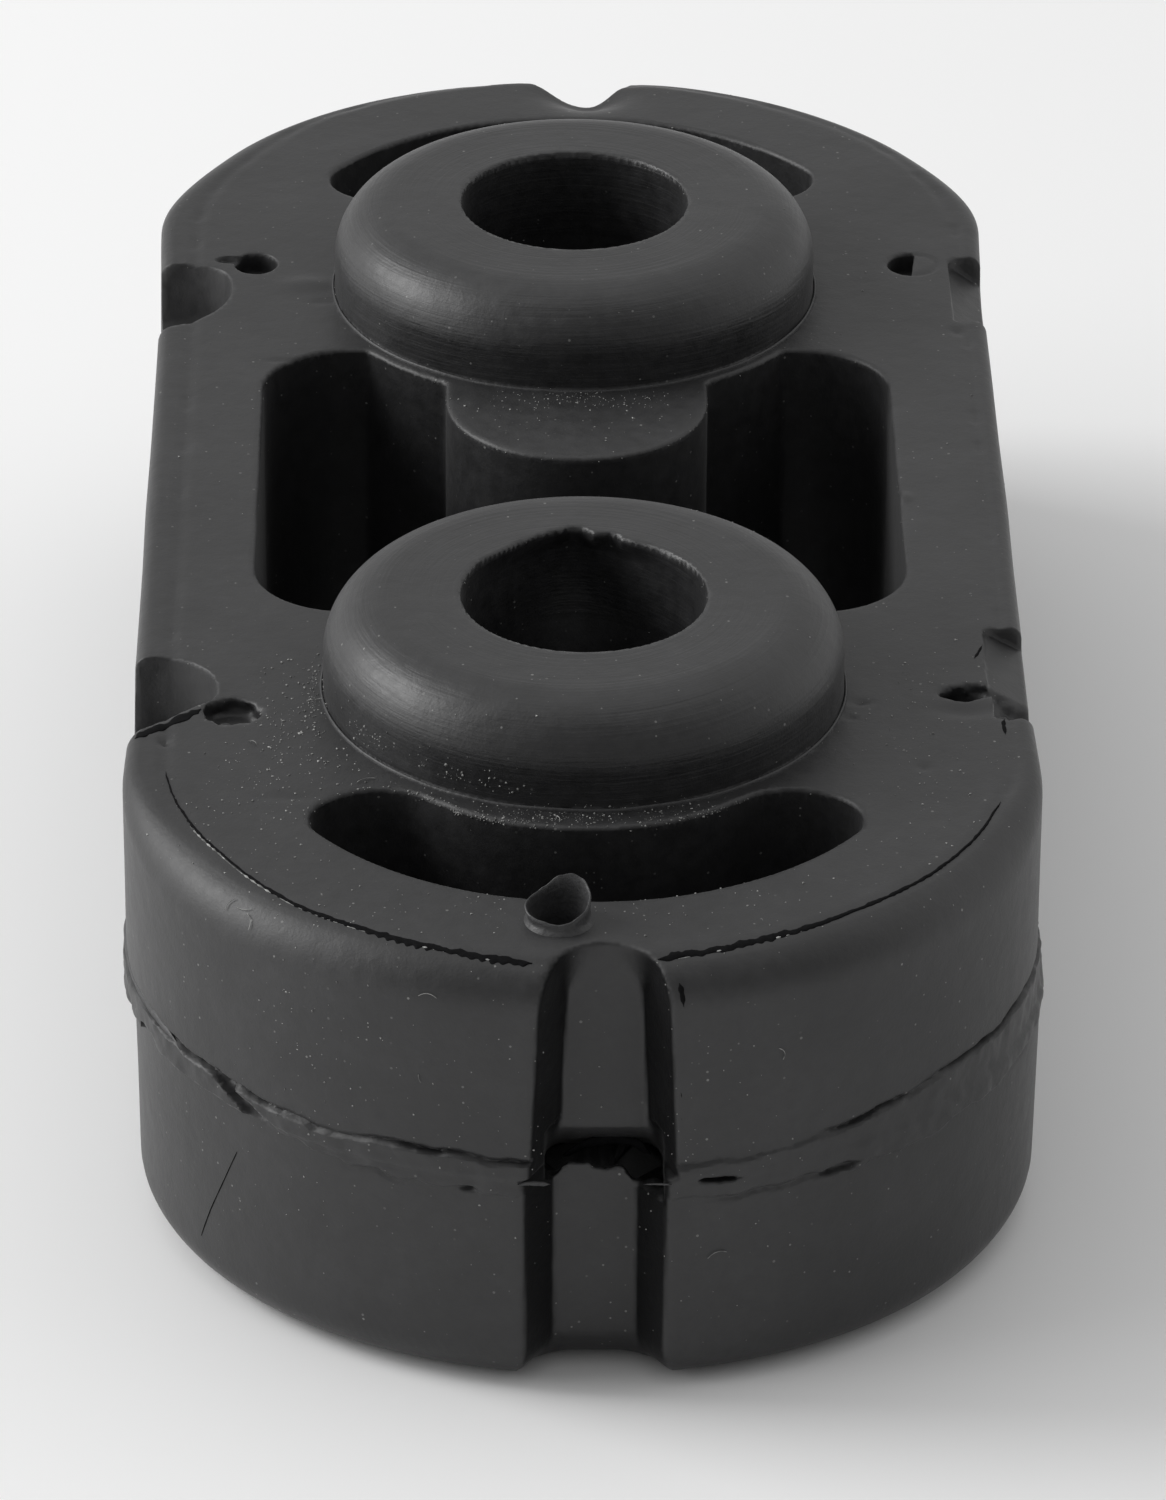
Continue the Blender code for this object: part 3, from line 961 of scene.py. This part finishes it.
def along_ragged(run, size, seed):
    """Two layers of lumps by the distance run along a line."""
    return ragged(run, 0.0 * run, 0.0 * run, size, seed)


def taper(run, reach, least=0.1):
    """One along the middle of a line, eased down to least at both its ends."""
    return least + (1.0 - least) * smooth(np.minimum(run, run[-1] - run) / reach)


def ring_angles(sides):
    """Angles of a ring's points."""
    return np.arange(sides) / sides * math.tau


def tube(points, across, up, wide, tall, sides):
    """Closed tube along a path: an oval at each point, which reaches across by its half
    width times the cosine of the angle and up by its half height times the sine."""
    angle = ring_angles(sides)
    rings = points[:, None, :] + across[:, None, :] * (wide * np.cos(angle))[..., None]
    rings = rings + up[:, None, :] * (tall * np.sin(angle))[..., None]
    return outward(*loft(rings))


def on_surface(points):
    """Points settled onto the hanger, with the ways across and out at each."""
    points = settle(hanger, settle(hanger, np.asarray(points, float), 3), 3)
    out = unit(slope(hanger, points, 0.15))
    along = unit(np.gradient(points, axis=0))
    across = unit(np.cross(out, along))
    return points, across, out


def surface_strip(points, left, right, rise, sides=10):
    """Thin strip laid along points on the hanger: a closed flat tube that reaches left
    and right of its path by the given widths and stands out by the given height, which
    is one number or a column with one for each point."""
    points, across, out = on_surface(points)
    reach = np.where(np.cos(ring_angles(sides)) > 0.0, right[:, None], left[:, None])
    return tube(points, across, out, reach, rise, sides)


def smooth_route(route, spacing):
    """Points a set distance apart along a bent route, with its corners eased."""
    route = np.asarray(route, float)
    run = run_length(route)
    even = np.arange(0.0, run[-1], spacing)
    points = np.column_stack([np.interp(even, run, column) for column in route.T])
    half = max(1, round(0.6 / spacing))
    kernel = np.hanning(2 * half + 3)[1:-1]
    kernel = kernel / kernel.sum()
    return np.column_stack([
        np.convolve(np.pad(column, half, mode="edge"), kernel, "valid") for column in points.T])


def trim_path(turns):
    """Points on the trim line in the top edge, by their turn round the near end."""
    out = unit(np.column_stack([np.sin(turns) / HALF_WIDTH, -np.cos(turns) / END_REACH]))
    inset = trim_inset(turns)
    drop = TOP_EDGE - np.sqrt(TOP_EDGE**2 - np.maximum(TOP_EDGE - inset, 0.0)**2)
    return np.column_stack([
        HALF_WIDTH * np.sin(turns) + UPPER_SHIFT - out[:, 0] * inset,
        -STRAIGHT - END_REACH * np.cos(turns) - out[:, 1] * inset, TOP - drop])


# Step of the turn along the trim line, in radians, and the spacings of the tear's teeth
# and of the points on a route
TRIM_STEP = 0.0035
TOOTH_PITCH = 0.46
ROUTE_STEP = 0.05

# Tear along the trim line: its turn, half width, tooth height and raggedness
TRIM_TEAR = np.array((
    (-1.53, 0.04, 0.00, 0.03), (-1.20, 0.05, 0.05, 0.03), (-0.75, 0.08, 0.10, 0.05),
    (-0.50, 0.13, 0.17, 0.08), (-0.12, 0.17, 0.22, 0.10), (0.15, 0.21, 0.12, 0.16),
    (0.50, 0.15, 0.10, 0.11), (0.85, 0.09, 0.05, 0.05), (1.36, 0.05, 0.00, 0.03)))


def trim_cracks(material):
    """Tear left where the flash was pulled off, drawn in painted crack shade: two strips along
    the trim line, with teeth on the inner side, which are the square of a sine."""
    parts = []
    for start, end in ((-1.53, -0.12), (0.155, 1.36)):
        turns = np.arange(start, end, TRIM_STEP)
        points = trim_path(turns)
        width, tooth, rough = (
            np.interp(turns, TRIM_TEAR[:, 0], column) for column in TRIM_TEAR[:, 1:].T)
        run = run_length(points)
        teeth = np.sin(np.pi * (run / TOOTH_PITCH + 0.9 * along_lumps(run, 1.9, 41)))**2
        teeth = teeth * (0.55 + 0.9 * along_lumps(run, 0.8, 43))
        inner = np.maximum(width + tooth * teeth + rough * along_ragged(run, 0.5, 44), 0.02)
        outer = np.maximum(width + rough * along_ragged(run, 0.35, 46), 0.02)
        thin = taper(run, 0.5)
        parts.append(surface_strip(points, inner * thin, outer * thin, 0.05))
    rubber_piece("trim_cracks", *merge(parts), material)


def trim_shreds(material):
    """Shreds along the outer side of the crack, coloured pale with the dust material: a string
    of short beads.
    """
    parts = []
    for start, end, share in ((-1.22, -0.5, 0.6), (-0.5, -0.13, 0.3), (0.17, 0.6, 0.35)):
        points = trim_path(np.arange(start, end, TRIM_STEP))
        run = run_length(points)
        bead = np.sin(np.pi * (run / TOOTH_PITCH + 0.4 * along_lumps(run, 1.9, 41)))**2
        there = smooth((along_ragged(run, 0.9, 49) + 2.4 * share - 1.0) * 1.5)
        size = (0.008 + 0.05 * bead * there) * taper(run, 0.8)
        out = np.column_stack([points[:, :2] - (0.0, -STRAIGHT), 0.0 * run])
        points = points + unit(out) * 0.12
        parts.append(surface_strip(points, size, size, 0.9 * size[:, None], 8))
    rubber_piece("trim_shreds", *merge(parts), material)


# Cracks in the wall and top: width and route
WALL_CRACKS = (
    (0.12, ((3.90, -46.6, 21.0), (3.98, -46.6, 20.4), (4.05, -46.6, 19.5))),
    (0.07, ((3.95, -46.6, 15.4), (4.00, -46.6, 15.0))),
    (0.06, ((3.95, -46.6, 14.1), (4.00, -46.6, 13.9))),
    (0.025, ((-15.6, -40.4, 8.6), (-16.1, -39.8, 7.1), (-16.3, -39.5, 6.4), (-16.9, -38.8, 4.7),
             (-17.3, -38.3, 3.4), (-17.5, -38.0, 2.6))),
    (0.07, ((17.8, -18.4, TOP), (18.1, -17.6, TOP), (18.3, -16.9, TOP))),
    (0.10, ((18.95, -23.9, TOP), (18.85, -24.6, TOP), (18.9, -25.6, TOP))),
    (0.26, ((-20.2, -25.9, TOP - 0.1), (-19.2, -25.0, TOP), (-18.2, -24.1, TOP),
            (-17.2, -23.1, TOP))),
)


def wall_cracks(material):
    """Short cracks drawn in painted crack shade: strips along routes on the surface, with
    ragged widths.
    """
    parts = []
    for width, route in WALL_CRACKS:
        points = smooth_route(route, ROUTE_STEP)
        run = run_length(points)
        size = width * (1.0 + 0.5 * along_ragged(run, 0.4, 56)) * taper(run, 0.4)
        parts.append(surface_strip(points, size, size, 0.03))
    rubber_piece("wall_cracks", *merge(parts), material)


# Films and strands of torn flash: half width, thickness and route
GROOVE_FILMS = (
    (0.13, 0.05, ((-3.2, -46.8, 10.85), (-2.6, -46.6, 10.82), (-2.1, -46.3, 10.6),
                  (-1.6, -46.0, 10.4))),
    (0.06, 0.05, ((2.3, -46.1, 10.45), (3.0, -46.4, 10.65), (3.7, -46.8, 10.85))),
)
HOLLOW_FILMS = (
    (0.22, 0.08, ((-1.2, -43.6, 10.3), (-0.1, -43.3, 10.85), (1.1, -43.2, 11.0),
                  (2.1, -43.3, 10.9), (2.8, -43.6, 10.4))),
)


def flash_films(name, films, material):
    """Films of flash left across the near groove and in its hollow: flat tubes whose
    width runs upright."""
    parts = []
    for half_width, thick, route in films:
        points = smooth_route(route, ROUTE_STEP)
        run = run_length(points)
        tall = half_width * (1.0 + 0.4 * along_ragged(run, 0.5, 66)) * taper(run, 0.4, 0.15)
        side = unit(np.cross(unit(np.gradient(points, axis=0)), UP))
        parts.append(tube(points, side, UP, thick, tall[:, None], 10))
    rubber_piece(name, *merge(parts), material)


# Lint: middle on the surface and turn in degrees
LINT = ((-15.3, -40.6, 21.3, 20), (-15.9, -39.9, 21.2, 75), (-14.9, -41.1, 20.9, -50),
        (-7.0, -45.9, 19.9, 15), (-7.4, -45.9, 15.6, -60), (8.2, -44.7, 16.6, 130),
        (-6.0, -33.0, TOP, 30), (-9.8, -29.8, TOP, 80), (-1.2, -33.4, TOP, -20),
        (-11.9, -22.3, TOP, 60), (-14.8, -26.3, TOP, 10), (5.6, -46.2, 7.0, 35))


def lint(material):
    """Loose fibres lying on the rubber: thin tubes on bent paths. Each path is an arc of
    a circle in the surface's own plane, lifted a little in the middle."""
    draw = np.random.default_rng(9)
    parts = []
    for x, y, z, degrees in LINT:
        middle, _, out = on_surface([(x, y, z), (x + 0.01, y, z), (x + 0.02, y, z)])
        out, side = out[0], unit(np.cross(out[0], (0.3, 0.2, 0.9)))
        turn = math.radians(degrees)
        ahead = side * math.cos(turn) + np.cross(out, side) * math.sin(turn)
        left = np.cross(out, ahead)
        half, bend = draw.uniform(0.2, 0.45), draw.uniform(-0.2, 0.2)
        share = np.linspace(-1.0, 1.0, 24)
        points = (middle[0] + half * share[:, None] * ahead
                  + bend * (share**2)[:, None] * left
                  + (0.05 + 0.03 * (1.0 - share**2))[:, None] * out)
        along = unit(np.gradient(points, axis=0))
        first = unit(np.cross(along, out))
        second = np.cross(first, along)
        radius = 0.015 * (0.4 + 0.6 * smooth((1.0 - np.abs(share)) * 6.0))[:, None]
        parts.append(tube(points, first, second, radius, radius, 6))
    rubber_piece("lint_fibres", *merge(parts), material)


def foot_flash(end, material):
    """Thin ring of flash round a flange's foot: a fin whose height and reach wander."""
    turns = np.linspace(0.0, math.tau, 720, endpoint=False)
    angle = ring_angles(10)
    ring_x, ring_y = np.cos(turns), np.sin(turns)
    flat = 0.0 * turns
    wander = ragged(ring_x * FLANGE_RADIUS, ring_y * FLANGE_RADIUS, flat, 2.2, 51 + end)
    height = 0.17 + 0.05 * wander
    radius = FLANGE_RADIUS + 0.10 + 0.03 * wander
    out = radius[:, None] + 0.075 * np.cos(angle)
    rings = np.stack([
        out * ring_x[:, None], out * ring_y[:, None] + end * BORE_Y,
        TOP - 0.02 + height[:, None] * np.sin(angle)], axis=-1)
    name = "far_foot_flash" if end > 0 else "near_foot_flash"
    rubber_piece(name, *outward(*loft(rings, around=True)), material)


# Rim of the torn nub by its turn from +X: turn in degrees, reach and height
NUB_RIM = ((0, 1.38, 1.15), (35, 1.35, 1.55), (62, 1.22, 1.72), (90, 1.05, 1.58),
           (120, 1.10, 1.20), (150, 1.35, 0.85), (180, 1.52, 0.70), (205, 1.50, 0.58),
           (235, 1.32, 0.48), (268, 1.25, 0.34), (295, 1.30, 0.45), (328, 1.38, 0.80),
           (360, 1.38, 1.15))


def nub(material):
    """Stump of the filling pip: a thin-walled cup with a torn rim. Each ring goes up the
    outer wall, over the rim and down the inner wall to the cup's floor."""
    degrees = np.linspace(0.0, 360.0, 96, endpoint=False)
    turns = np.radians(degrees)
    table = np.array(NUB_RIM)
    reach = np.interp(degrees, table[:, 0], table[:, 1])
    height = np.interp(degrees, table[:, 0], table[:, 2])
    flat = np.zeros(len(turns))
    torn = ragged(np.cos(turns) * 2.0, np.sin(turns) * 2.0, flat, 0.8, 61)
    height = height + 0.06 * torn
    base = np.full(len(turns), 1.33)
    wall = 0.11
    profile = (
        # share of the height, height, share of the way to the rim's reach, step inwards
        (0.0, -2.8, 0.0, -0.05), (0.0, -0.30, 0.0, -0.22), (0.0, -0.02, 0.0, -0.20),
        (0.0, 0.07, 0.05, -0.04),
        (0.35, 0.05, 0.35, 0.0), (0.7, 0.0, 0.75, 0.0), (0.95, 0.0, 1.0, 0.0),
        (1.0, 0.0, 1.0, 0.03), (1.0, 0.02, 1.0, 0.5 * wall), (1.0, 0.0, 1.0, wall - 0.03),
        (0.9, 0.0, 0.97, wall), (0.5, 0.0, 0.55, wall + 0.02), (0.15, -0.03, 0.3, wall + 0.08),
        (0.0, -0.10, 0.1, wall + 0.16), (0.0, -0.70, 0.0, wall + 0.20),
        (0.0, -2.0, 0.0, wall + 0.26), (0.0, -2.5, 0.0, 0.7))
    rings = []
    for share, lift, lean, inwards in profile:
        radius = base + (reach - base) * lean - inwards
        rings.append(np.column_stack([
            NUB_X + radius * np.cos(turns), NUB_Y + radius * np.sin(turns),
            TOP + 0.1 + share * height + lift]))
    rubber_piece("filling_nub", *outward(*loft(np.array(rings))), material)


def strand(material):
    """Strand of flash along the seam, at the near end's left: a flat tube on a bent path."""
    route = np.array([
        (-20.60, -27.2, 13.35), (-20.62, -28.4, 13.2), (-20.50, -30.0, 12.9),
        (-20.22, -31.6, 12.65), (-19.80, -33.2, 12.55), (-19.15, -35.0, 12.5),
        (-18.55, -36.3, 12.45), (-17.9, -37.5, 12.2)])
    along = np.linspace(0.0, len(route) - 1.0, 120)
    points = np.column_stack([
        np.interp(along, np.arange(len(route)), route[:, k]) for k in range(3)])
    kernel = np.ones(9) / 9.0
    points = np.column_stack([
        np.convolve(np.pad(points[:, k], 4, mode="edge"), kernel, "valid") for k in range(3)])
    out = unit(np.column_stack([
        points[:, 0] / HALF_WIDTH**2,
        np.minimum(points[:, 1] + STRAIGHT, 0.0) / END_REACH**2, np.zeros(len(points))]))
    thin = taper(along, 1.2, 0.0)
    thick = (0.02 + 0.08 * thin)[:, None] * (1.0 + 0.3 * np.cos(2.0 * ring_angles(12)))
    tall = (0.03 + (0.20 + 0.05 * along_ragged(0.8 * along, 1.0, 71)) * thin)[:, None]
    rubber_piece("seam_strand", *tube(points, out, UP, thick, tall, 12), material)


def grain_shapes(count, draw):
    """Random grains: two five-sided rings and two poles each, pushed in and out."""
    turns = ring_angles(5)
    base = np.vstack([
        [[0.0, 0.0, 1.0]],
        np.column_stack([np.cos(turns), np.sin(turns), np.full(5, 0.5)]),
        np.column_stack([np.cos(turns + 0.628), np.sin(turns + 0.628), np.full(5, -0.5)]),
        [[0.0, 0.0, -1.0]]])
    loop = np.arange(5)
    after = (loop + 1) % 5
    faces = np.vstack([
        np.column_stack([np.zeros(5, int), 1 + loop, 1 + after]),
        np.column_stack([1 + loop, 6 + loop, 1 + after]),
        np.column_stack([1 + after, 6 + loop, 6 + after]),
        np.column_stack([np.full(5, 11), 6 + after, 6 + loop])])
    points = base[None] * draw.uniform(0.6, 1.3, (count, 12, 1))
    points = points * draw.uniform(0.6, 1.4, (count, 1, 3))
    return points, faces


# Where dust has gathered: x, y and z of the middle, half sizes, grains, least and most size
DUST_PLACES = (
    ((-13.2, -24.5, TOP), (2.4, 6.5, 0.4), 230, 0.018, 0.065),
    ((-12.2, -22.0, TOP), (0.7, 4.0, 0.4), 110, 0.02, 0.06),
    ((-10.2, -27.6, TOP + 0.9), (2.0, 2.6, 1.0), 90, 0.02, 0.06),
    ((-6.5, -31.6, TOP + 0.9), (4.0, 1.4, 0.9), 110, 0.02, 0.06),
    ((-2.0, -33.2, TOP), (5.0, 1.0, 0.3), 260, 0.018, 0.05),
    ((4.0, -32.8, TOP), (4.0, 1.2, 0.3), 110, 0.018, 0.045),
    ((0.0, 8.2, TOP), (5.6, 1.1, 0.2), 170, 0.018, 0.045),
    ((0.0, 5.5, TOP), (6.0, 3.4, 0.2), 40, 0.018, 0.04),
    ((-15.0, -32.5, TOP), (3.5, 6.0, 0.2), 150, 0.018, 0.045),
    ((0.0, -40.5, TOP), (13.0, 3.5, 0.3), 170, 0.018, 0.05),
    ((15.5, -27.0, TOP), (3.5, 12.0, 0.2), 140, 0.018, 0.045),
    ((0.0, -20.8, FLANGE_TOP), (11.0, 11.0, 0.5), 170, 0.018, 0.06),
    ((0.0, 20.8, FLANGE_TOP), (11.0, 11.0, 0.5), 90, 0.018, 0.05),
    ((-12.0, -44.0, 14.0), (7.0, 5.0, 8.0), 190, 0.018, 0.05),
    ((3.0, -46.9, 12.0), (12.0, 2.0, 9.0), 160, 0.018, 0.05),
    ((0.0, 0.0, TOP), (20.0, 44.0, 0.3), 330, 0.018, 0.05),
)


def dust_grains(material):
    """Dust scattered over the places above, settled on the surface and half sunk in it.
    Small grains are the commonest."""
    draw = np.random.default_rng(5)
    points, sizes = [], []
    for middle, half, count, least, most in DUST_PLACES:
        spread = draw.normal(0.0, 0.5, (count, 3))
        points.append(np.array(middle) + spread * np.array(half))
        sizes.append(least + (most - least) * draw.uniform(0.0, 1.0, count)**2)
    points, sizes = np.concatenate(points), np.concatenate(sizes)
    points = settle(hanger, settle(hanger, points, 3), 3)
    normal = unit(slope(hanger, points))
    value = np.abs(hanger(*points.astype(np.float32).T))
    inside = np.all((points > LOW + 0.12) & (points < HIGH - 0.12), axis=1)
    kept = (value < 0.03) & inside & (normal[:, 2] > -0.2)
    points, sizes = points[kept], sizes[kept]
    shapes, faces = grain_shapes(len(points), draw)
    vertices = points[:, None, :] + shapes * sizes[:, None, None]
    total = np.arange(len(points))[:, None, None] * 12
    rubber_piece(
        "dust_grains", vertices.reshape(-1, 3), (faces[None] + total).reshape(-1, 3), material)
    print("dust_grains", len(points))


# Scene

PHOTO_HEIGHT = 1500
FOCAL_PIXELS = 8919.9
SENSOR = 36.0
CAMERA_AT = (-5.103, -376.769, 191.393 + TOP)
CAMERA_YAW = math.radians(0.820)
CAMERA_PITCH = math.radians(28.686)
CAMERA_ROLL = math.radians(-0.358)


def photo_camera():
    """Camera where the photograph was taken from, fitted to the outlines it shows."""
    data = bpy.data.cameras.new("photo_camera")
    data.sensor_width = SENSOR
    data.lens = FOCAL_PIXELS * SENSOR / PHOTO_HEIGHT
    data.clip_start = 0.01
    data.clip_end = 20.0
    camera = bpy.data.objects.new("photo_camera", data)
    upright = Matrix.Rotation(math.pi / 2 - CAMERA_PITCH, 4, "X")
    turn = Matrix.Rotation(-CAMERA_YAW, 4, "Z")
    roll = Matrix.Rotation(-CAMERA_ROLL, 4, "Z")
    place = Matrix.Translation([value * MM for value in CAMERA_AT])
    camera.matrix_world = place @ turn @ upright @ roll
    bpy.context.scene.collection.objects.link(camera)
    bpy.context.scene.camera = camera


def floor():
    """Wide sheet just under the hanger, a hair lower so that the two don't share a plane."""
    half, z = 3000.0, -0.02
    corners = [(-half, -half, z), (half, -half, z), (half, half, z), (-half, half, z)]
    piece = new_piece("floor", np.array(corners), np.array([[0, 1, 2, 3]]), floor_paint())


def soft_light(name, at, size, power, aim=(0.0, 0.0, 15.0)):
    """Square area light at a place in millimetres, turned towards a point."""
    data = bpy.data.lights.new(name, "AREA")
    data.size = size * MM
    data.energy = power
    light = bpy.data.objects.new(name, data)
    light.location = [value * MM for value in at]
    light.rotation_euler = Vector(np.subtract(at, aim)).to_track_quat("Z", "Y").to_euler()
    bpy.context.scene.collection.objects.link(light)


def studio():
    """White room, dimmer behind the camera, with a high and a low softbox to the left."""
    world = bpy.data.worlds.new("white_room")
    bpy.context.scene.world = world
    world.use_nodes = True
    tree = world.node_tree
    way = add_node(tree, "ShaderNodeTexCoord").outputs["Generated"]
    split = add_node(tree, "ShaderNodeSeparateXYZ", {"Vector": way})
    # Brightness by how far a direction points away from the camera: it rises from behind
    # the camera to the sides, and falls a little towards the far end
    near_side, far_side = (
        add_node(
            tree, "ShaderNodeMapRange", {"Value": split.outputs["Y"]},
            interpolation_type="SMOOTHSTEP", in_From_Min=start, in_From_Max=end,
            in_To_Min=first, in_To_Max=last).outputs["Result"]
        for start, end, first, last in ((-0.6, 0.2, 0.30, 0.90), (0.3, 0.9, 1.0, 0.66)))
    strength = add_node(
        tree, "ShaderNodeMath", {0: near_side, 1: far_side}, operation="MULTIPLY")
    sky = tree.nodes["Background"]
    sky.inputs["Color"].default_value = linear("#ffffff")
    tree.links.new(strength.outputs[0], sky.inputs["Strength"])
    soft_light("left_softbox", (-700.0, 160.0, 480.0), 350.0, 3.7)
    soft_light("low_softbox", (-520.0, -60.0, 190.0), 360.0, 0.9, (-60.0, 0.0, 0.0))
    bpy.context.scene.view_settings.view_transform = "Standard"


photo_camera()
studio()
floor()
hanger_piece()
flash = torn_rubber()
shadowed = crack_shade_rubber()
grey = dust()
trim_cracks(shadowed)
wall_cracks(shadowed)
trim_shreds(grey)
for flange_end in (-1, 1):
    foot_flash(flange_end, flash)
flash_films("groove_films", GROOVE_FILMS, flash)
# The hollow's film gets the crack material: painted shade, darker than the torn rubber of the
# groove's films
flash_films("hollow_films", HOLLOW_FILMS, shadowed)
nub(flash)
strand(flash)
lint(grey)
dust_grains(grey)
